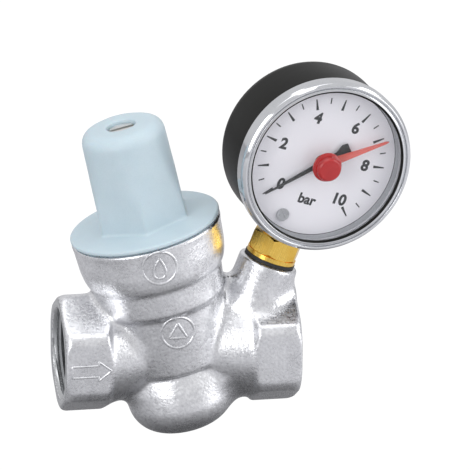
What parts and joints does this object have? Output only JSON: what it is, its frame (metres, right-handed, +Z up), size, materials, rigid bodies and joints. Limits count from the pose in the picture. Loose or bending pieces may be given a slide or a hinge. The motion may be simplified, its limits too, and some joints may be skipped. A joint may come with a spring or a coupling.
{
  "type": "pressure reducing valve",
  "caption": "Inclined-cartridge pressure reducing valve for water with hexagonal female ports, a screwed plastic spring cover and a dial pressure gauge on the outlet boss.",
  "frame": {"origin": "centre of the inlet port's face, on the pipe axis", "axes": "+X along the pipe axis from inlet to outlet, +Z up, the gauge's dial faces -Y"},
  "size_m": [0.1029, 0.0454, 0.1089],
  "materials": {
    "chrome_body": "satin chrome plate over a fine cast surface",
    "cover_plastic": "satin blue-grey moulded plastic",
    "brass": "turned brass",
    "steel": "stainless steel",
    "spring_steel": "zinc-plated spring wire",
    "rubber": "black nitrile rubber",
    "cage_plastic": "glass-filled plastic",
    "case_black": "satin black case",
    "bezel_chrome": "polished chrome ring",
    "lens": "clear window",
    "dial_white": "white printed dial",
    "pointer_black": "black painted aluminium",
    "signal_red": "red plastic"
  },
  "bodies": {
    "housing": {"valve_body": "chrome_body", "cartridge_cage": "cage_plastic", "cage_o_ring_upper": "rubber", "cage_o_ring_lower": "rubber", "valve_seat": "steel", "strainer": "steel", "strainer_cap": "cage_plastic", "diaphragm": "rubber", "slip_ring": "steel", "adjusting_spring": "spring_steel", "cover_insert": "brass", "spring_cover": "cover_plastic", "gauge_seal": "rubber", "gauge_socket": "brass", "gauge_case": "case_black", "socket_screws": "steel", "bourdon_tube": "brass", "movement_back_plate": "brass", "movement_pillars": "brass", "movement_front_plate": "brass", "movement_screws": "steel", "mounting_screws": "steel", "hairspring": "spring_steel", "hairspring_stud": "brass", "dial": "dial_white", "dial_screw": "steel", "lens_gasket": "rubber", "gauge_lens": "lens", "gauge_bezel": "bezel_chrome"},
    "stem_group": {"stem": "brass", "stem_o_ring": "rubber", "obturator": "brass", "seat_gasket": "rubber", "obturator_nut": "steel", "diaphragm_washer": "steel", "diaphragm_plate": "steel", "stem_nut": "steel"},
    "spring_plate": {"spring_plate": "steel"},
    "adjusting_screw": {"adjusting_screw": "brass"},
    "pointer": {"pointer": "pointer_black", "pinion": "steel"},
    "sector": {"sector_gear": "brass"},
    "tube_tip": {"tube_tip": "brass", "tip_link": "steel", "link_pins": "steel"},
    "set_pointer": {"set_pointer": "signal_red", "set_knob": "signal_red"}
  },
  "joints": [
    {"name": "stem_slide", "type": "slide", "parent": "housing", "child": "stem_group", "axis": [-0.225, 0, 0.9744], "range_m": [0, 0.0017], "stiffness_N_per_m": 600, "springref_m": -0.001, "deforming": ["diaphragm", "adjusting_spring"]},
    {"name": "spring_plate_slide", "type": "slide", "parent": "housing", "child": "spring_plate", "axis": [-0.225, 0, 0.9744], "range_m": [-0.005, 0.0008], "deforming": ["adjusting_spring"]},
    {"name": "adjusting_screw_turn", "type": "hinge", "parent": "spring_plate", "child": "adjusting_screw", "pos_m": [0.0202, 0, 0.06236], "axis": [-0.225, 0, 0.9744], "range_deg": [-1441, 240]},
    {"name": "pointer_turn", "type": "hinge", "parent": "housing", "child": "pointer", "pos_m": [0.07658, -0.00896, 0.05762], "axis": [-0.1621, 0.9848, 0.0622], "range_deg": [0, 271], "deforming": ["hairspring"]},
    {"name": "sector_turn", "type": "hinge", "parent": "housing", "child": "sector", "pos_m": [0.08134, -0.00146, 0.04934], "axis": [-0.1621, 0.9848, 0.0622], "range_deg": [-45.2, 0]},
    {"name": "tube_tip_travel", "type": "slide", "parent": "housing", "child": "tube_tip", "axis": [0.9194, 0.1736, -0.3529], "range_m": [0, 0.00306], "stiffness_N_per_m": 60, "springref_m": -0.001, "deforming": ["bourdon_tube"]},
    {"name": "set_pointer_turn", "type": "hinge", "parent": "housing", "child": "set_pointer", "pos_m": [0.07705, -0.01182, 0.05744], "axis": [-0.1621, 0.9848, 0.0622], "continuous": true}
  ],
  "couplings": [
    {"joint": "adjusting_screw_turn", "follows": "spring_plate_slide", "rad_per_m": 5026.5},
    {"joint": "pointer_turn", "follows": "tube_tip_travel", "rad_per_m": 1540},
    {"joint": "sector_turn", "follows": "tube_tip_travel", "rad_per_m": -256.67}
  ]
}
